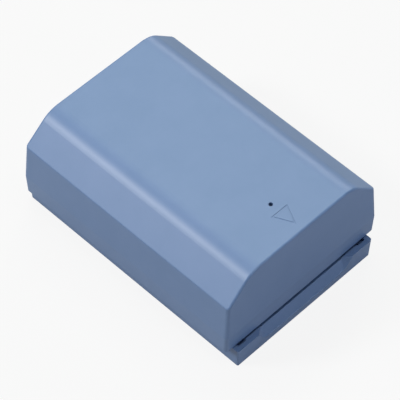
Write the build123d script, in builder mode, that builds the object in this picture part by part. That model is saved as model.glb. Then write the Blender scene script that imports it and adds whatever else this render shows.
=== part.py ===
import os
from math import cos, radians, sin, tan

from build123d import *

os.makedirs("parts", exist_ok=True)
standing = (Align.CENTER, Align.CENTER, Align.MIN)
hanging = (Align.CENTER, Align.CENTER, Align.MAX)
inward = (Align.CENTER, Align.MIN, Align.CENTER)

# Rechargeable camera battery, in millimetres. X runs across, Y along with the contact end at -Y,
# Z up from the table. The bevelled side of the case faces up and the flat base cover faces down.

# Outside of the case
case_width = 38.2          # across the parting crease, the widest line
case_length = 51.3         # along the parting crease
total_height = 22.45
seam_height = 5.0          # lower edge of the case wall
crease_height = 9.05       # parting crease, from which the walls lean in both ways
side_draft = 4.2           # degrees, long sides above the crease
end_draft = 2.0            # degrees, ends above the crease
side_draft_low = 1.5       # degrees, long sides below the crease
end_draft_low = 2.6        # degrees, ends below the crease
corner_round = 0.7         # upright corners
bevel_angle = 42.3         # degrees from level, the two long bevels
ridge_inset = 6.5          # from the widest line in to the top of the bevel
ridge_round = 5.8          # large rounding between the flat top and each bevel
rim_round = 0.4            # small rounding around the roof's outer edge

# Walls and play
side_wall = 0.9
end_wall = 1.1
roof_wall = 0.9
fit_gap = 0.1              # play between pieces that slide past each other

# Base cover
base_stand_out = 1.1       # how far it stands out past the case at both ends
base_inset = 1.8           # how far it stays in from the case along both sides
base_draft = 2.8           # degrees
base_round = 0.5
shut_line = 0.4            # open line between the case's end wall and the ledge
shut_front = 0.12          # that wall's face to the front edge of the groove below it
shut_width = 0.65          # groove along the ledge, which keeps the line dark
shut_depth = 0.6
floor_thick = 0.9
base_wall = 0.9
rail_height = 0.8          # rail that enters the case all round
tongue_thick = 0.5         # that rail across both ends

# Hollow scoop along the ledge at the contact end
ear_width = 5.2            # full ledge left at each end of the scoop
lip_height = 1.5           # top of the lip that the scoop leaves standing
scoop_lean = 25.0          # degrees, the scoop's two ends lean outwards
scoop_round = 3.2
scoop_back = 1.3           # depth of the scoop at the top of the ledge
scoop_flare = 50.0         # degrees, both ends open towards the front as well
relief_inset = 2.0         # two short pits open the shut line near its ends
relief_length = 1.9
relief_depth = 1.2
relief_width = 0.8

# Marks on the flat top
arrow_inset = 2.25         # tip of the arrow to the contact end of the case
arrow_length = 4.0
arrow_half = 2.0
arrow_line = 0.25          # width of the engraved line
arrow_depth = 0.08
vent_diameter = 0.85
vent_ahead = 2.0           # pinhole to the arrow's base

# Cells
cell_gap = 0.1
can_edge = 0.4             # turned edge of the can at both ends
groove_place = 3.9         # middle of the rolled groove, from the face of the positive button
groove_width = 1.4
groove_depth = 0.5         # its flanks slope at 45 degrees
shoulder_drop = 0.85       # crimped shoulder below the face of the positive button
crimp_width = 2.2
button_radius = 3.2
button_flare = 0.3         # how much wider the button is at its foot
washer_thick = 0.3
washer_inset = 0.6         # washer to the can's edge, and to the button

# Ribs that hold the cells
rib_thick = 1.2
rib_pitch = 15.4           # spacing of the ribs along the case
valley_half = 3.5          # half width of the roof ribs in the valley between the cells
stop_height = 2.0          # short ribs of the case that rest on the base cover's rails

# Strips, sheet and foam
strip_thick = 0.15
strip_width = 4.8
strip_foot = 4.0           # length of each strip that lies on the board
link_round = 1.0           # corners of the link between the cells
sheet_thick = 0.15
foam_width = 23.4
foam_height = 9.8

# Board, contacts and the posts under the board
board_reach = 2.85         # board's edge beyond the middle of each cell
board_thick = 0.7
board_round = 1.0
contact_thick = 0.2
contact_width = 2.3
contact_length = 6.4
contact_pitch = 4.65
slot_width = 1.7           # opening in the floor below each contact
slot_length = 3.6
slot_setback = 0.4         # end of the contact to the edge of its slot
post_diameter = 3.0
pin_diameter = 1.4
pin_rise = 0.3             # pin head above the board
pin_side = 2.5             # middle of a post to the board's long edge
pin_back = 9.1             # middle of a post to the board's end

# Components on the board, with rows measured from its contact end
chip_height = 0.7
chip_bevel = 0.15
chip_clear = 0.2           # air between the chips and the insulating sheet
side_column = 6.0          # middle of the outer components to the centre line
protection_width = 5.0
protection_length = 4.4
protection_row = 16.7
gauge_size = 4.0
gauge_row = 27.0
switch_size = 3.3
switch_pitch = 5.1
switch_row = 9.8
shunt_width = 3.2
shunt_length = 6.3
shunt_height = 0.56
fuse_width = 2.5
fuse_length = 6.0
fuse_height = 0.63
large_length = 1.6         # larger chip components
large_width = 0.8
large_height = 0.63
large_spacing = 2.1
large_row = 34.3
small_length = 1.0         # smaller chip components
small_width = 0.5
small_height = 0.35
small_spacing = 1.5
small_row = 28.6

# Sizes that follow from those above
case_half = case_length / 2
ridge_half = case_width / 2 - ridge_inset
seam_half = case_width / 2 - (crease_height - seam_height) * tan(radians(side_draft_low))
seam_end = case_half - (crease_height - seam_height) * tan(radians(end_draft_low))
peak_half = case_width / 2 - (total_height - crease_height) * tan(radians(side_draft))
peak_end = case_half - (total_height - crease_height) * tan(radians(end_draft))
roof_run = case_width / 2
foot_height = total_height - ridge_inset * tan(radians(bevel_angle))
base_half = case_half + base_stand_out
base_side = case_width / 2 - base_inset
ledge_height = seam_height - shut_line
rail_half = seam_half - side_wall - fit_gap
rail_reach = seam_end - end_wall - fit_gap
rail_top = seam_height + rail_height
bay_half = base_side - base_wall
bay_end = rail_reach - tongue_thick
bay_foot = base_half - scoop_back
scoop_half = base_side - ear_width
scoop_foot = scoop_half - (ledge_height - lip_height) * tan(radians(scoop_lean))
scoop_top = scoop_half + (total_height - ledge_height) * tan(radians(scoop_lean))
lip_face = base_half - (ledge_height - lip_height) * tan(radians(base_draft))
scoop_slope = (lip_face - base_half + scoop_back) / (ledge_height - lip_height)
relief_place = base_side - relief_inset

# Layers between the floor and the cells
contact_top = floor_thick + contact_thick
board_top = contact_top + board_thick
cell_floor = board_top + chip_height + chip_clear + sheet_thick

# Each cell is as thick as the side walls, the roof and the bevels let it be
lean = tan(radians(side_draft))
width_room = case_width / 2 - side_wall - fit_gap - cell_gap / 2 + (crease_height - cell_floor) * lean
height_room = total_height - roof_wall - fit_gap - cell_floor
slope_x = sin(radians(bevel_angle))
slope_z = cos(radians(bevel_angle))
bevel_reach = slope_x * (ridge_half - cell_gap / 2) + slope_z * (total_height - cell_floor)
bevel_room = bevel_reach - roof_wall - fit_gap
cell_radius = min(width_room / (2 + lean), height_room / 2, bevel_room / (1 + slope_x + slope_z))
cell_place = cell_radius + cell_gap / 2
cell_height = cell_floor + cell_radius
cell_end = bay_end - fit_gap - strip_thick
cell_length = 2 * cell_end
strip_face = cell_end + strip_thick
foam_top = cell_height + foam_height / 2
foam_wall = case_half - (foam_top - crease_height) * tan(radians(end_draft)) - end_wall
foam_thick = foam_wall - fit_gap - strip_face

# Places on the board
board_half = cell_place + board_reach
rib_width = bay_half - board_half - 2 * fit_gap
board_end = cell_end - 4 * strip_thick
contact_start = bay_foot - 2 * fit_gap
contact_centre = contact_length / 2 - contact_start
slot_centre = slot_length / 2 - contact_start + slot_setback
pin_x = board_half - pin_side
pin_y = board_end - pin_back


def roof_outline():
    """Corner points of the roof section: flat top, two bevels that run out past the walls, closed below."""
    drop = roof_run * tan(radians(bevel_angle))
    return [
        (-ridge_half - roof_run, 0),
        (-ridge_half - roof_run, total_height - drop),
        (-ridge_half, total_height),
        (ridge_half, total_height),
        (ridge_half + roof_run, total_height - drop),
        (ridge_half + roof_run, 0),
    ]


def cell_outline(way):
    """Half section of a cell about its axis, with the positive button towards +Y or -Y."""
    groove = cell_end - groove_place
    shoulder = cell_end - shoulder_drop
    seat = shoulder - washer_thick
    outline = [
        (0, -cell_end),
        (cell_radius - can_edge, -cell_end),
        (cell_radius, can_edge - cell_end),
        (cell_radius, groove - groove_width / 2),
        (cell_radius - groove_depth, groove - groove_width / 2 + groove_depth),
        (cell_radius - groove_depth, groove + groove_width / 2 - groove_depth),
        (cell_radius, groove + groove_width / 2),
        (cell_radius, shoulder - can_edge),
        (cell_radius - can_edge, shoulder),
        (cell_radius - crimp_width, shoulder),
        (cell_radius - crimp_width, seat),
        (button_radius + button_flare, seat),
        (button_radius, cell_end),
        (0, cell_end),
    ]
    return [(across, way * along) for across, along in outline]


def tab_outline():
    """Side view of an end strip: it stands against a cell's end and its foot lies on the board."""
    return [
        (-strip_face, cell_height + button_radius),
        (-strip_face, board_top),
        (strip_foot - strip_face, board_top),
        (strip_foot - strip_face, board_top + strip_thick),
        (-cell_end, board_top + strip_thick),
        (-cell_end, cell_height + button_radius),
    ]


# Hollow inside the case
with BuildPart() as case_hollow:
    with BuildSketch(Plane.XY.offset(seam_height)):
        Rectangle(2 * (seam_half - side_wall), 2 * (seam_end - end_wall))
    with BuildSketch(Plane.XY.offset(crease_height)):
        Rectangle(case_width - 2 * side_wall, case_length - 2 * end_wall)
    with BuildSketch(Plane.XY.offset(total_height)):
        Rectangle(2 * (peak_half - side_wall), 2 * (peak_end - end_wall))
    loft(ruled=True)
    with BuildSketch(Plane.XZ) as hollow_roof:
        with BuildLine():
            Polyline(*roof_outline(), close=True)
        make_face()
        fillet(hollow_roof.vertices().group_by(Axis.Y)[-1], radius=ridge_round)
        offset(amount=-roof_wall, mode=Mode.REPLACE)
    extrude(amount=case_length, both=True, mode=Mode.INTERSECT)

# Upper case: one moulding with a flat top, two long bevels and walls that lean in from a crease
with BuildPart() as upper_case:
    with BuildSketch(Plane.XY.offset(seam_height)):
        RectangleRounded(2 * seam_half, 2 * seam_end, corner_round)
    with BuildSketch(Plane.XY.offset(crease_height)):
        RectangleRounded(case_width, case_length, corner_round)
    with BuildSketch(Plane.XY.offset(total_height)):
        RectangleRounded(2 * peak_half, 2 * peak_end, corner_round)
    loft(ruled=True)
    with BuildSketch(Plane.XZ) as case_roof:
        with BuildLine():
            Polyline(*roof_outline(), close=True)
        make_face()
        fillet(case_roof.vertices().group_by(Axis.Y)[-1], radius=ridge_round)
    extrude(amount=case_length, both=True, mode=Mode.INTERSECT)
    high_edges = upper_case.edges().filter_by(lambda edge: edge.center().Z > foot_height - rim_round)
    long_edges = high_edges.filter_by(Axis.Y)
    ridge_lines = long_edges.filter_by(lambda edge: abs(edge.center().X) < peak_half - rim_round)
    fillet(high_edges - ridge_lines, radius=rim_round)
    add(case_hollow.part, mode=Mode.SUBTRACT)
    # Ribs that fill the valley between the cells, and short stops above the rails
    with Locations((0, 0, total_height - roof_wall / 2)):
        with GridLocations(0, rib_pitch, 1, 3):
            Box(2 * valley_half, rib_thick, cell_radius / 2, align=hanging)
    with Locations((0, 0, rail_top)):
        with GridLocations(2 * rail_half, rib_pitch, 2, 3):
            Box(side_wall + 2 * fit_gap, rib_thick, stop_height, align=standing)
    with Locations((-cell_place, 0, cell_height), (cell_place, 0, cell_height)):
        Cylinder(cell_radius + fit_gap / 2, cell_length, rotation=(90, 0, 0), mode=Mode.SUBTRACT)
    # Vent pinhole, and the engraved arrow that points at the contact end
    with Locations((0, arrow_inset + arrow_length + vent_ahead - case_half, total_height)):
        Cylinder(vent_diameter / 2, 4 * roof_wall, mode=Mode.SUBTRACT)
    with BuildSketch(Plane.XY.offset(total_height)):
        with BuildLine():
            Polyline(
                (-arrow_half, arrow_inset + arrow_length - case_half),
                (arrow_half, arrow_inset + arrow_length - case_half),
                (0, arrow_inset - case_half),
                close=True,
            )
        make_face()
        offset(amount=-arrow_line, mode=Mode.SUBTRACT)
    extrude(amount=-arrow_depth, mode=Mode.SUBTRACT)
upper_case.part.label = "upper_case"
export_step(upper_case.part, "parts/upper_case.step")

# Scoop cut along the ledge: rounded ends seen from the front, a slope seen from the side
with BuildPart() as scoop:
    with BuildSketch(Plane.XZ.offset(base_half)) as scoop_front:
        with BuildLine():
            Polyline(
                (-scoop_top, total_height),
                (-scoop_foot, lip_height),
                (scoop_foot, lip_height),
                (scoop_top, total_height),
                close=True,
            )
        make_face()
        fillet(scoop_front.vertices().group_by(Axis.Y)[0], radius=scoop_round)
    extrude(amount=-1.5 * scoop_back, taper=scoop_flare)
    with BuildSketch(Plane.YZ) as scoop_side:
        with BuildLine():
            Polyline(
                (-2 * base_half, lip_height),
                (-lip_face, lip_height),
                (-base_half + scoop_back, ledge_height),
                (-base_half + scoop_back + scoop_slope, ledge_height + 1),
                (-2 * base_half, ledge_height + 1),
                close=True,
            )
        make_face()
    extrude(amount=base_half, both=True, mode=Mode.INTERSECT)

# Base cover: one moulded tray with a ledge at each end and a rail that enters the case
with BuildPart() as base_cover:
    with BuildSketch(Plane.XY.offset(ledge_height)):
        RectangleRounded(2 * base_side, 2 * base_half, base_round)
    extrude(amount=-ledge_height, taper=base_draft)
    with Locations((0, 0, ledge_height)):
        Box(2 * base_side, 2 * rail_reach, shut_line, align=standing)
    with Locations((0, 0, seam_height)):
        Box(2 * rail_half, 2 * rail_reach, rail_height, align=standing)
    # Bay for the board and the lower half of the cells
    with BuildSketch(Plane.YZ):
        with BuildLine():
            Polyline(
                (-bay_foot, floor_thick),
                (-bay_end, ledge_height - floor_thick),
                (-bay_end, rail_top),
                (bay_end, rail_top),
                (bay_end, ledge_height - floor_thick),
                (bay_foot, floor_thick),
                close=True,
            )
        make_face()
    extrude(amount=bay_half, both=True, mode=Mode.SUBTRACT)
    # Cradle ribs under the outer flank of each cell
    with Locations((0, 0, floor_thick)):
        with GridLocations(2 * bay_half - rib_width, rib_pitch, 2, 3):
            Box(rib_width, rib_thick, rail_top - floor_thick, align=standing)
    with Locations((-cell_place, 0, cell_height), (cell_place, 0, cell_height)):
        Cylinder(cell_radius, cell_length, rotation=(90, 0, 0), mode=Mode.SUBTRACT)
    # Posts that carry the board, two of them with a locating pin
    with Locations((0, 0, floor_thick)):
        with GridLocations(2 * pin_x, 2 * pin_y, 2, 2):
            Cylinder(post_diameter / 2, contact_thick, align=standing)
    with Locations((-pin_x, -pin_y, contact_top), (pin_x, pin_y, contact_top)):
        Cylinder(pin_diameter / 2, board_thick + pin_rise, align=standing)
    # Scoop, groove of the shut line, relief pits and contact slots
    add(scoop.part, mode=Mode.SUBTRACT)
    with Locations((0, -seam_end - shut_front, ledge_height)):
        Box(2 * bay_half, shut_width, 2 * shut_depth, align=inward, mode=Mode.SUBTRACT)
    with Locations((-relief_place, -seam_end, ledge_height), (relief_place, -seam_end, ledge_height)):
        Box(relief_length, relief_width, 2 * relief_depth, mode=Mode.SUBTRACT)
    with Locations((0, slot_centre, 0)):
        with GridLocations(contact_pitch, 0, 4, 1):
            Box(slot_width, slot_length, 4 * floor_thick, mode=Mode.SUBTRACT)
base_cover.part.label = "base_cover"
export_step(base_cover.part, "parts/base_cover.step")

# Two round cells side by side, turned opposite ways
with BuildPart() as left_cell:
    with BuildSketch(Plane((-cell_place, 0, cell_height))):
        with BuildLine():
            Polyline(*cell_outline(-1), close=True)
        make_face()
    revolve(axis=Axis((-cell_place, 0, cell_height), (0, 1, 0)))
left_cell.part.label = "left_cell"
export_step(left_cell.part, "parts/left_cell.step")

with BuildPart() as right_cell:
    with BuildSketch(Plane((cell_place, 0, cell_height))):
        with BuildLine():
            Polyline(*cell_outline(1), close=True)
        make_face()
    revolve(axis=Axis((cell_place, 0, cell_height), (0, 1, 0)))
right_cell.part.label = "right_cell"
export_step(right_cell.part, "parts/right_cell.step")

# Insulating washers around the two positive buttons
with BuildPart() as left_washer:
    with BuildSketch(Plane((-cell_place, shoulder_drop - cell_end, cell_height), z_dir=(0, -1, 0))):
        Circle(cell_radius - washer_inset)
        Circle(button_radius + washer_inset, mode=Mode.SUBTRACT)
    extrude(amount=washer_thick)
left_washer.part.label = "left_washer"
export_step(left_washer.part, "parts/left_washer.step")

with BuildPart() as right_washer:
    with BuildSketch(Plane((cell_place, cell_end - shoulder_drop, cell_height), z_dir=(0, 1, 0))):
        Circle(cell_radius - washer_inset)
        Circle(button_radius + washer_inset, mode=Mode.SUBTRACT)
    extrude(amount=washer_thick)
right_washer.part.label = "right_washer"
export_step(right_washer.part, "parts/right_washer.step")

# Nickel strips: one joins the cells in series, two lead to the board, each with a bent foot
with BuildPart() as series_link:
    with BuildSketch(Plane((0, cell_end, cell_height), x_dir=(1, 0, 0), z_dir=(0, -1, 0))):
        RectangleRounded(2 * cell_place + 2 * button_radius, 2 * button_radius, link_round)
        Rectangle(strip_width, cell_height - board_top, align=(Align.CENTER, Align.MAX))
    extrude(amount=-strip_thick)
    with Locations((0, strip_face, board_top)):
        Box(strip_width, strip_foot, strip_thick, align=(Align.CENTER, Align.MAX, Align.MIN))
    link_bend = series_link.edges().filter_by(Axis.X)
    fillet(link_bend.sort_by_distance((0, cell_end, board_top + strip_thick))[0], radius=strip_thick)
    link_fold = series_link.edges().filter_by(Axis.X)
    fillet(link_fold.sort_by_distance((0, strip_face, board_top))[0], radius=2 * strip_thick)
series_link.part.label = "series_link"
export_step(series_link.part, "parts/series_link.step")

with BuildPart() as plus_tab:
    with BuildSketch(Plane.YZ.offset(-cell_place)):
        with BuildLine():
            Polyline(*tab_outline(), close=True)
        make_face()
    extrude(amount=strip_width / 2, both=True)
    plus_bend = plus_tab.edges().filter_by(Axis.X)
    plus_corner = (-cell_place, -cell_end, board_top + strip_thick)
    fillet(plus_bend.sort_by_distance(plus_corner)[0], radius=strip_thick)
    plus_fold = plus_tab.edges().filter_by(Axis.X)
    fillet(plus_fold.sort_by_distance((-cell_place, -strip_face, board_top))[0], radius=2 * strip_thick)
plus_tab.part.label = "plus_tab"
export_step(plus_tab.part, "parts/plus_tab.step")

with BuildPart() as minus_tab:
    with BuildSketch(Plane.YZ.offset(cell_place)):
        with BuildLine():
            Polyline(*tab_outline(), close=True)
        make_face()
    extrude(amount=strip_width / 2, both=True)
    minus_bend = minus_tab.edges().filter_by(Axis.X)
    minus_corner = (cell_place, -cell_end, board_top + strip_thick)
    fillet(minus_bend.sort_by_distance(minus_corner)[0], radius=strip_thick)
    minus_fold = minus_tab.edges().filter_by(Axis.X)
    fillet(minus_fold.sort_by_distance((cell_place, -strip_face, board_top))[0], radius=2 * strip_thick)
minus_tab.part.label = "minus_tab"
export_step(minus_tab.part, "parts/minus_tab.step")

# Insulating sheet under the cells, and a foam pad at each end
with BuildPart() as insulating_sheet:
    with BuildSketch(Plane.XY.offset(cell_floor)):
        RectangleRounded(2 * board_half, 2 * board_end - strip_foot, board_round)
    extrude(amount=-sheet_thick)
insulating_sheet.part.label = "insulating_sheet"
export_step(insulating_sheet.part, "parts/insulating_sheet.step")

with BuildPart() as contact_end_foam:
    with Locations((0, -strip_face, cell_height)):
        Box(foam_width, foam_thick, foam_height, align=(Align.CENTER, Align.MAX, Align.CENTER))
contact_end_foam.part.label = "contact_end_foam"
export_step(contact_end_foam.part, "parts/contact_end_foam.step")

with BuildPart() as far_end_foam:
    with Locations((0, strip_face, cell_height)):
        Box(foam_width, foam_thick, foam_height, align=(Align.CENTER, Align.MIN, Align.CENTER))
far_end_foam.part.label = "far_end_foam"
export_step(far_end_foam.part, "parts/far_end_foam.step")

# Protection board, resting on the contacts and the posts
with BuildPart() as protection_board:
    with BuildSketch(Plane.XY.offset(contact_top)):
        RectangleRounded(2 * board_half, 2 * board_end, board_round)
        with Locations((-pin_x, -pin_y), (pin_x, pin_y)):
            Circle(pin_diameter / 2 + fit_gap, mode=Mode.SUBTRACT)
    extrude(amount=board_thick)
protection_board.part.label = "protection_board"
export_step(protection_board.part, "parts/protection_board.step")

# Four contact plates behind the slots in the floor
with BuildPart() as plus_contact:
    with Locations((-1.5 * contact_pitch, contact_centre, floor_thick)):
        Box(contact_width, contact_length, contact_thick, align=standing)
plus_contact.part.label = "plus_contact"
export_step(plus_contact.part, "parts/plus_contact.step")

with BuildPart() as data_contact:
    with Locations((-0.5 * contact_pitch, contact_centre, floor_thick)):
        Box(contact_width, contact_length, contact_thick, align=standing)
data_contact.part.label = "data_contact"
export_step(data_contact.part, "parts/data_contact.step")

with BuildPart() as temperature_contact:
    with Locations((0.5 * contact_pitch, contact_centre, floor_thick)):
        Box(contact_width, contact_length, contact_thick, align=standing)
temperature_contact.part.label = "temperature_contact"
export_step(temperature_contact.part, "parts/temperature_contact.step")

with BuildPart() as minus_contact:
    with Locations((1.5 * contact_pitch, contact_centre, floor_thick)):
        Box(contact_width, contact_length, contact_thick, align=standing)
minus_contact.part.label = "minus_contact"
export_step(minus_contact.part, "parts/minus_contact.step")

# Components on top of the board
with BuildPart() as protection_chip:
    with Locations((0, protection_row - board_end, board_top)):
        Box(protection_width, protection_length, chip_height, align=standing)
    chamfer(protection_chip.faces().sort_by(Axis.Z)[-1].edges(), length=chip_bevel)
protection_chip.part.label = "protection_chip"
export_step(protection_chip.part, "parts/protection_chip.step")

with BuildPart() as gauge_chip:
    with Locations((0, gauge_row - board_end, board_top)):
        Box(gauge_size, gauge_size, chip_height, align=standing)
    chamfer(gauge_chip.faces().sort_by(Axis.Z)[-1].edges(), length=chip_bevel)
gauge_chip.part.label = "gauge_chip"
export_step(gauge_chip.part, "parts/gauge_chip.step")

with BuildPart() as charge_switch:
    with Locations((-switch_pitch / 2, switch_row - board_end, board_top)):
        Box(switch_size, switch_size, chip_height, align=standing)
    chamfer(charge_switch.faces().sort_by(Axis.Z)[-1].edges(), length=chip_bevel)
charge_switch.part.label = "charge_switch"
export_step(charge_switch.part, "parts/charge_switch.step")

with BuildPart() as discharge_switch:
    with Locations((switch_pitch / 2, switch_row - board_end, board_top)):
        Box(switch_size, switch_size, chip_height, align=standing)
    chamfer(discharge_switch.faces().sort_by(Axis.Z)[-1].edges(), length=chip_bevel)
discharge_switch.part.label = "discharge_switch"
export_step(discharge_switch.part, "parts/discharge_switch.step")

with BuildPart() as sense_resistor:
    with Locations((side_column, protection_row - board_end, board_top)):
        Box(shunt_width, shunt_length, shunt_height, align=standing)
sense_resistor.part.label = "sense_resistor"
export_step(sense_resistor.part, "parts/sense_resistor.step")

with BuildPart() as fuse:
    with Locations((-side_column, protection_row - board_end, board_top)):
        Box(fuse_width, fuse_length, fuse_height, align=standing)
fuse.part.label = "fuse"
export_step(fuse.part, "parts/fuse.step")

with BuildPart() as thermistor:
    with Locations((side_column, gauge_row - board_end, board_top)):
        Box(large_length, large_width, large_height, align=standing)
thermistor.part.label = "thermistor"
export_step(thermistor.part, "parts/thermistor.step")

with BuildPart() as capacitors:
    with Locations((0, large_row - board_end, board_top)):
        with GridLocations(large_length + large_width, large_spacing, 2, 3):
            Box(large_length, large_width, large_height, align=standing)
capacitors.part.label = "capacitors"
export_step(capacitors.part, "parts/capacitors.step")

with BuildPart() as resistors:
    with Locations((-side_column, small_row - board_end, board_top)):
        with GridLocations(small_length + small_width, small_spacing, 2, 4):
            Box(small_length, small_width, small_height, align=standing)
resistors.part.label = "resistors"
export_step(resistors.part, "parts/resistors.step")
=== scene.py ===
# %% [markdown]
# A rechargeable camera battery, dressed for a studio picture. The pack is a satin grey-blue plastic
# case on a base cover of the same plastic, with two round cells, their strips and a small circuit board
# shut up inside. The solid pieces come ready made and in place. This lesson gives each of them its
# finish, then sets up the camera, the floor and the light.

# %% Load the pack
from math import cos, radians, sin

import bpy
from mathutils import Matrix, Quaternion, Vector

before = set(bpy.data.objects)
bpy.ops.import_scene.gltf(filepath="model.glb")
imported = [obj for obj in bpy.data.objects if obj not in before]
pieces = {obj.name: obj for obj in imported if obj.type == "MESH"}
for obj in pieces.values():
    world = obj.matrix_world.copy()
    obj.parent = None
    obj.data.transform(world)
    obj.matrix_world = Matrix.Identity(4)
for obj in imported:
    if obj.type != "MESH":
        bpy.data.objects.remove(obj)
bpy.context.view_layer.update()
mm = 0.001


# %% [markdown]
# Every finish below is a small graph of shader nodes. Colours are written as the hex values that a
# screen shows, but light adds up in linear values, so one function turns one into the other. A second
# function adds a node, sets its sockets and links other nodes into it, which keeps each finish readable
# from top to bottom.

# %% Helpers for colours and nodes
def linear(hex_colour):
    """A screen colour such as 7A92B6 as linear red, green, blue and alpha."""
    shares = [int(hex_colour[i:i + 2], 16) / 255 for i in (0, 2, 4)]
    return [s / 12.92 if s <= 0.04045 else ((s + 0.055) / 1.055) ** 2.4 for s in shares] + [1.0]


def add_node(tree, kind, settings=None, links=None):
    """Add one shader node, set its sockets or its own options, and link other nodes' outputs into it."""
    node = tree.nodes.new(kind)
    for name, value in (settings or {}).items():
        if isinstance(name, int) or name in node.inputs:
            node.inputs[name].default_value = value
        else:
            setattr(node, name, value)
    for name, output in (links or {}).items():
        tree.links.new(output, node.inputs[name])
    return node


def new_finish(name):
    """An empty material with its output node: returns the material, its node tree and that output."""
    finish = bpy.data.materials.new(name)
    finish.use_nodes = True
    finish.node_tree.nodes.clear()
    return finish, finish.node_tree, add_node(finish.node_tree, "ShaderNodeOutputMaterial")


def dress(finish, *names):
    """Give a finish to solid pieces by name."""
    for name in names:
        piece = pieces[name]
        piece.data.materials.clear()
        piece.data.materials.append(finish)
    print(finish.name, "on", ", ".join(names))


# %% [markdown]
# The case and its cover are moulded from a blend of polycarbonate and ABS, pigmented right through. The
# mould is spark eroded, which leaves a fine even grain that breaks up reflections, so the plastic looks
# satin and not glossy. It could be one flat colour with a roughness value, but a moulding always has
# slight clouding in its pigment and small changes in sheen, so both follow noise here, and the grain
# itself is a bump.

# %% Moulded plastic of the case
grain_width = 0.22 * mm      # coarser than the real grain of about 0.05 mm, so that it shows at all
grain_depth = 0.01 * mm
cloud_width = 6.0 * mm       # clouding in the pigment


def moulded_plastic():
    finish, tree, out = new_finish("satin_pc_abs")
    place = add_node(tree, "ShaderNodeTexCoord")
    cloud = add_node(tree, "ShaderNodeTexNoise",
                     {"Scale": 1 / cloud_width, "Detail": 3.0, "Roughness": 0.6},
                     {"Vector": place.outputs["Object"]})
    tint = add_node(tree, "ShaderNodeValToRGB", links={"Fac": cloud.outputs["Fac"]})
    tint.color_ramp.elements[0].position = 0.3
    tint.color_ramp.elements[0].color = linear("6985AF")
    tint.color_ramp.elements[1].position = 0.7
    tint.color_ramp.elements[1].color = linear("6D88B2")
    grain = add_node(tree, "ShaderNodeTexNoise",
                     {"Scale": 1 / grain_width, "Detail": 2.0, "Roughness": 0.5},
                     {"Vector": place.outputs["Object"]})
    sheen = add_node(tree, "ShaderNodeMapRange", {"To Min": 0.38, "To Max": 0.46},
                     {"Value": grain.outputs["Fac"]})
    relief = add_node(tree, "ShaderNodeBump", {"Strength": 0.15, "Distance": grain_depth},
                      {"Height": grain.outputs["Fac"]})
    body = add_node(tree, "ShaderNodeBsdfPrincipled", {"IOR": 1.5},
                    {"Base Color": tint.outputs["Color"], "Roughness": sheen.outputs["Result"],
                     "Normal": relief.outputs["Normal"]})
    tree.links.new(body.outputs["BSDF"], out.inputs["Surface"])
    return finish


dress(moulded_plastic(), "upper_case", "base_cover")

# %% [markdown]
# What lies inside is mostly plain stuff with a fine pattern: paper fibres, foam pores, rolling marks,
# grains of filler. One function serves them all. A texture whose size is given in millimetres moves the
# colour between two close values and the roughness between two others, and lifts the surface a little.
# Painted image textures would do as well, but they need unwrapped meshes, and a pattern in object
# coordinates fits any solid as it is.

# %% A finish that follows one pattern
mottled = ("ShaderNodeTexNoise", {"Detail": 3.0})
porous = ("ShaderNodeTexVoronoi", {})
woven = ("ShaderNodeTexVoronoi", {"distance": "CHEBYCHEV", "Randomness": 0.0})
even = (1.0, 1.0, 1.0)


def patterned(name, texture, width, colours, roughness, rise, body, stretch=even):
    """A finish from one texture of a given width: two colours, two roughness values and a relief.

    The body has the surface's own settings. The pattern is drawn out along an axis whose stretch is small.
    """
    finish, tree, out = new_finish(name)
    kind, settings = texture
    place = add_node(tree, "ShaderNodeTexCoord")
    spread = add_node(tree, "ShaderNodeMapping", {"Scale": stretch}, {"Vector": place.outputs["Object"]})
    pattern = add_node(tree, kind, {"Scale": 1 / width, **settings}, {"Vector": spread.outputs["Vector"]})
    level = pattern.outputs[0]
    tint = add_node(tree, "ShaderNodeValToRGB", links={"Fac": level})
    for element, position, colour in zip(tint.color_ramp.elements, (0.25, 0.75), colours):
        element.position = position
        element.color = linear(colour)
    sheen = add_node(tree, "ShaderNodeMapRange", {"To Min": roughness[0], "To Max": roughness[1]},
                     {"Value": level})
    relief = add_node(tree, "ShaderNodeBump", {"Strength": 0.5, "Distance": rise}, {"Height": level})
    surface = add_node(tree, "ShaderNodeBsdfPrincipled", body,
                       {"Base Color": tint.outputs["Color"], "Roughness": sheen.outputs["Result"],
                        "Normal": relief.outputs["Normal"]})
    tree.links.new(surface.outputs["BSDF"], out.inputs["Surface"])
    return finish


# %% [markdown]
# Each cell is a steel can, nickel plated and drawn to a tube, so its sheen has fine streaks along the
# axis. A film of grey shrink sleeve covers the tube and leaves both rims bare. Sleeve and bare metal
# could be two pieces, but the film is about as thin as a hair, so they are two shaders on one solid,
# and the distance from the middle of the cell says which of them shows.

# %% Cells
sleeve_end = 22.2 * mm       # from the middle of the cell to the sleeve's edge
streak_width = 0.4 * mm      # coarser than the real drawing marks of about 0.05 mm, so that they show
streak_stretch = (1.0, 0.04, 1.0)


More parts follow.
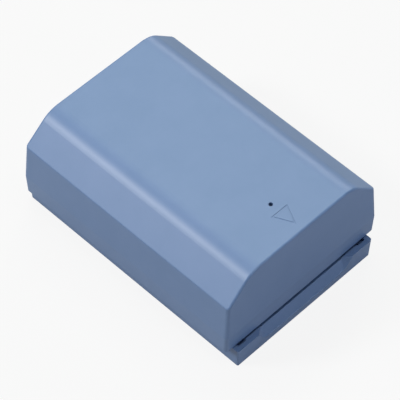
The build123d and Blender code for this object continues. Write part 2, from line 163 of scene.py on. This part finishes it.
def sleeved_can():
    finish, tree, out = new_finish("sleeved_nickel_can")
    place = add_node(tree, "ShaderNodeTexCoord")
    drawn = add_node(tree, "ShaderNodeMapping", {"Scale": streak_stretch},
                     {"Vector": place.outputs["Object"]})
    streak = add_node(tree, "ShaderNodeTexNoise", {"Scale": 1 / streak_width, "Detail": 3.0},
                      {"Vector": drawn.outputs["Vector"]})
    sheen = add_node(tree, "ShaderNodeMapRange", {"To Min": 0.22, "To Max": 0.34},
                     {"Value": streak.outputs["Fac"]})
    steel = add_node(tree, "ShaderNodeBsdfPrincipled", {"Base Color": linear("BDB6AA"), "Metallic": 1.0},
                     {"Roughness": sheen.outputs["Result"]})
    cloud = add_node(tree, "ShaderNodeTexNoise", {"Scale": 1 / cloud_width, "Detail": 2.0},
                     {"Vector": place.outputs["Object"]})
    film = add_node(tree, "ShaderNodeValToRGB", links={"Fac": cloud.outputs["Fac"]})
    film.color_ramp.elements[0].color = linear("989B9D")
    film.color_ramp.elements[1].color = linear("A3A6A8")
    sleeve = add_node(tree, "ShaderNodeBsdfPrincipled", {"Roughness": 0.3, "IOR": 1.54},
                      {"Base Color": film.outputs["Color"]})
    along = add_node(tree, "ShaderNodeSeparateXYZ", links={"Vector": place.outputs["Object"]})
    reach = add_node(tree, "ShaderNodeMath", {"operation": "ABSOLUTE"}, {0: along.outputs["Y"]})
    bare = add_node(tree, "ShaderNodeMath", {"operation": "GREATER_THAN", 1: sleeve_end},
                    {0: reach.outputs[0]})
    both = add_node(tree, "ShaderNodeMixShader",
                    links={0: bare.outputs[0], 1: sleeve.outputs["BSDF"], 2: steel.outputs["BSDF"]})
    tree.links.new(both.outputs["Shader"], out.inputs["Surface"])
    return finish


dress(sleeved_can(), "left_cell", "right_cell")

# %% [markdown]
# The washers and the sheet under the cells are fish paper, a hard vulcanised fibre that insulates well,
# and its flat fibres show as a faint mottling. The strips between cells and board are nickel rolled to
# 0.15 mm, and the rolls leave long fine lines. The pads at both ends are closed-cell foam, dull and
# almost black, with round pores.

# %% Paper, strips and foam
fibre_width = 0.5 * mm       # clumps of fibre
rolling_width = 0.12 * mm    # coarser than the real rolling lines of about 0.02 mm, so that they show
rolling_stretch = (1.0, 1.0, 0.03)
pore_width = 0.35 * mm

fish_paper = patterned("fish_paper", mottled, fibre_width, colours=("C4BA98", "D2C8A6"),
                       roughness=(0.7, 0.85), rise=0.02 * mm, body={"IOR": 1.46})
dress(fish_paper, "left_washer", "right_washer", "insulating_sheet")

rolled_nickel = patterned("rolled_nickel", mottled, rolling_width, colours=("ABA498", "C2BBAE"),
                          roughness=(0.24, 0.38), rise=0.004 * mm, body={"Metallic": 1.0},
                          stretch=rolling_stretch)
dress(rolled_nickel, "series_link", "plus_tab", "minus_tab")

closed_foam = patterned("closed_cell_foam", porous, pore_width, colours=("0E0E0F", "1C1C1E"),
                        roughness=(0.8, 0.95), rise=0.15 * mm, body={"IOR": 1.5})
dress(closed_foam, "contact_end_foam", "far_end_foam")

# %% [markdown]
# The board is glass cloth in epoxy under a film of green solder mask, and the crossing threads show
# through as a fine square grid. A Voronoi texture with no randomness and square distances draws that
# grid without an image. The contact plates are copper with hard gold plating, which is a little uneven
# where it grew in the bath.

# %% Board and contacts
thread_spacing = 0.45 * mm
plating_width = 0.3 * mm     # uneven patches in the plating

solder_mask = patterned("solder_mask_on_glass_cloth", woven, thread_spacing, colours=("215239", "1B4A33"),
                        roughness=(0.3, 0.38), rise=0.004 * mm, body={"IOR": 1.55})
dress(solder_mask, "protection_board")

hard_gold = patterned("hard_gold_plating", mottled, plating_width, colours=("CFA455", "DDB566"),
                      roughness=(0.2, 0.3), rise=0.002 * mm, body={"Metallic": 1.0})
dress(hard_gold, "plus_contact", "data_contact", "temperature_contact", "minus_contact")

# %% [markdown]
# Chips are cast in black epoxy full of silica grains, which gives a matt, slightly speckled face. The
# small parts are fired ceramics: dark for the resistors and the thermistor, white alumina for the fuse,
# and tan titanate for the capacitors. Firing leaves them finely grained and mostly smoother than the
# epoxy.

# %% Components on the board
filler_width = 0.06 * mm     # silica grains
fired_width = 0.1 * mm       # coarser than the real grains of a few thousandths of a millimetre

black_epoxy = patterned("filled_black_epoxy", mottled, filler_width, colours=("17171A", "232327"),
                        roughness=(0.5, 0.65), rise=0.006 * mm, body={"IOR": 1.55})
dress(black_epoxy, "protection_chip", "gauge_chip", "charge_switch", "discharge_switch")

dark_ceramic = patterned("glazed_dark_ceramic", mottled, fired_width, colours=("1D1E22", "2B2C31"),
                         roughness=(0.3, 0.42), rise=0.004 * mm, body={"IOR": 1.6})
dress(dark_ceramic, "sense_resistor", "resistors", "thermistor")

white_alumina = patterned("white_alumina", mottled, fired_width, colours=("D9D6CC", "E6E3DA"),
                          roughness=(0.45, 0.6), rise=0.004 * mm, body={"IOR": 1.76})
dress(white_alumina, "fuse")

tan_titanate = patterned("tan_titanate_ceramic", mottled, fired_width, colours=("8A6A4C", "9A795A"),
                         roughness=(0.4, 0.52), rise=0.004 * mm, body={"IOR": 1.7})
dress(tan_titanate, "capacitors")

# %% [markdown]
# The camera looks down on the near corner of the contact end, from well back and with a long lens, so
# that parallel edges stay almost parallel. It could be placed by coordinates, but a bearing and a
# height from a point inside the pack are easier to picture and to change. Last, it is rolled by a hair.

# %% Camera
view_bearing = -45.45        # degrees from straight in front of the contact end, towards the left side
view_height = 52.61          # degrees above the floor
view_roll = 0.25
view_distance = 425.4 * mm
view_target = Vector((-1.73, -1.97, 11.0)) * mm
view_lens = 214.3            # on a sensor 36 wide


def direction(bearing, height):
    """The way from the pack to a point at a bearing and a height, both in degrees."""
    level = cos(radians(height))
    return Vector((sin(radians(bearing)) * level, -cos(radians(bearing)) * level, sin(radians(height))))


back = direction(view_bearing, view_height)
bpy.ops.object.camera_add(location=view_target + view_distance * back)
camera = bpy.context.object
camera.name = "studio_camera"
camera.rotation_mode = "QUATERNION"
camera.rotation_quaternion = (-back).to_track_quat("-Z", "Y") @ Quaternion((0, 0, 1), radians(view_roll))
camera.data.lens = view_lens
camera.data.clip_start = 10.0 * mm
bpy.context.scene.camera = camera
print("camera at", [round(v, 4) for v in camera.location])

# %% [markdown]
# The pack stands on a sheet of pale grey paper, which takes its shadow and throws some light back up at
# its walls. The picture wants a white ground. More light would burn out the pack, so where the paper is
# seen straight, or through something clear, most of it is plain white, and a trace of the shadow stays.
# In a reflection it is a pale grey: a mirrored pure white would wash the blue out of the walls, which
# are seen at a flat angle.

# %% Floor
floor_size = 4.0             # metres
floor_drop = 0.02 * mm       # keeps the paper out of the plane of the pack's underside
white_share = 0.88
mirrored_share = 0.25

bpy.ops.object.select_all(action="DESELECT")
bpy.ops.mesh.primitive_plane_add(size=floor_size, location=(0.0, 0.0, -floor_drop))
floor = bpy.context.object
floor.name = "pale_floor"


def pale_floor():
    finish, tree, out = new_finish("pale_paper_floor")
    paper = add_node(tree, "ShaderNodeBsdfDiffuse", {"Color": linear("BFBFBF")})
    white = add_node(tree, "ShaderNodeEmission", {"Color": linear("FFFFFF"), "Strength": 1.0})
    rays = add_node(tree, "ShaderNodeLightPath")
    straight = add_node(tree, "ShaderNodeMath", {"operation": "MAXIMUM"},
                        {0: rays.outputs["Is Camera Ray"], 1: rays.outputs["Is Transmission Ray"]})
    plain = add_node(tree, "ShaderNodeMath", {"operation": "MULTIPLY", 1: white_share},
                     {0: straight.outputs[0]})
    mirrored = add_node(tree, "ShaderNodeMath", {"operation": "MULTIPLY", 1: mirrored_share},
                        {0: rays.outputs["Is Glossy Ray"]})
    share = add_node(tree, "ShaderNodeMath", {"operation": "MAXIMUM"},
                     {0: plain.outputs[0], 1: mirrored.outputs[0]})
    mixed = add_node(tree, "ShaderNodeMixShader",
                     links={0: share.outputs[0], 1: paper.outputs[0], 2: white.outputs[0]})
    tree.links.new(mixed.outputs[0], out.inputs["Surface"])
    return finish


floor.data.materials.append(pale_floor())
print("floor", floor_size, "m square")

# %% [markdown]
# Plain soft boxes light the pack, most of them from behind, so that its rounded ridges catch them. A
# small one behind the left side draws the bright line along that ridge, and a low one behind the right
# side does the same for the other. The flat top mirrors a third one, which gives it an even sheen, and
# a fourth carries that sheen on to the left ridge. One overhead lights the ledge, and a small one low
# in front fills the end wall.

# %% Light
box_distance = 0.7           # metres from the pack
wide_box = 0.26              # metres across


def soft_box(name, bearing, height, size, watts, colour="FFFFFF", distance=box_distance):
    """A square lamp that faces the pack from a bearing and a height, both in degrees."""
    towards = direction(bearing, height)
    bpy.ops.object.light_add(type="AREA", location=view_target + distance * towards)
    lamp = bpy.context.object
    lamp.name = name
    lamp.rotation_euler = (-towards).to_track_quat("-Z", "Y").to_euler()
    lamp.data.size = size
    lamp.data.energy = watts
    lamp.data.color = linear(colour)[:3]
    print(name, "at", [round(v, 3) for v in lamp.location], watts, "W")


soft_box("ridge_box", bearing=233.0, height=43.0, size=0.15, watts=3.2)
soft_box("low_box", bearing=117.0, height=25.0, size=0.2, watts=1.1)
soft_box("sheen_box", bearing=135.0, height=54.0, size=wide_box, watts=1.12, colour="F6FFE8")
soft_box("back_box", bearing=174.0, height=65.0, size=wide_box, watts=0.6)
soft_box("overhead_box", bearing=0.0, height=78.0, size=wide_box, watts=1.04)
soft_box("front_box", bearing=12.0, height=18.0, size=0.12, watts=0.19, colour="DCEAFF", distance=0.3)

# %% [markdown]
# The room itself is almost dark, so that the boxes alone shape the pack, and a little grey keeps its
# shadows open. A filmic view would soften the bright tones, but it would also shift the plastic's blue,
# so the plain standard view is used, which shows a colour as it is written.

# %% Room
world = bpy.context.scene.world or bpy.data.worlds.new("studio")
bpy.context.scene.world = world
world.use_nodes = True
room = world.node_tree.nodes["Background"]
room.inputs["Color"].default_value = linear("202020")
room.inputs["Strength"].default_value = 1.0
bpy.context.scene.view_settings.view_transform = "Standard"
print("room light", [round(v, 4) for v in room.inputs["Color"].default_value[:3]])
